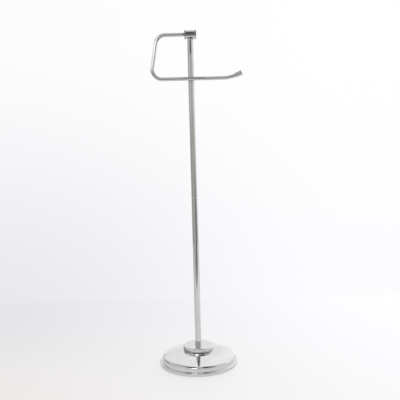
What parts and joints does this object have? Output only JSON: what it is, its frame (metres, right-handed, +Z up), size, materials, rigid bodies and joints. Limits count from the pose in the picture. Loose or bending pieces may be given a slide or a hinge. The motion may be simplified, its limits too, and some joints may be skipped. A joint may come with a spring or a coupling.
{
  "type": "free-standing toilet roll stand",
  "caption": "Chrome floor stand: weighted round domed base, slim pole and an open-ended arm that swings on a horizontal barrel and rests against the pole.",
  "frame": {"origin": "on the pole's axis, at the underside of the floor pad", "axes": "+Z up along the pole; +X towards the arm's free end; -Y is the front, where the lower rod rests against the pole"},
  "size_m": [0.189, 0.165, 0.7022],
  "materials": {
    "chrome": "bright chrome plate on polished steel",
    "cast_iron": "black stove enamel over a sand-cast skin",
    "foam": "closed-cell foam sheet",
    "nylon": "natural nylon",
    "zinc_steel": "bright zinc plate"
  },
  "bodies": {
    "stand": {"floor_pad": "foam", "base_weight": "cast_iron", "base_cover": "chrome", "collar": "chrome", "base_bolt": "zinc_steel", "base_spring_washer": "zinc_steel", "base_flat_washer": "zinc_steel", "pole_tube": "chrome", "pole_bottom_insert": "zinc_steel", "pole_top_insert": "zinc_steel", "barrel_stud": "zinc_steel", "head_barrel": "chrome", "barrel_left_ring": "chrome", "barrel_end_cap": "chrome", "left_bush": "nylon", "right_bush": "nylon"},
    "arm": {"arm_rod": "chrome", "arm_end_washer": "zinc_steel", "arm_end_screw": "zinc_steel", "tip_cap": "chrome"}
  },
  "joints": [
    {"name": "arm_swing", "type": "hinge", "parent": "stand", "child": "arm", "pos_m": [0, 0, 0.692], "axis": [-1, 0, 0], "range_deg": [0, 346]}
  ]
}
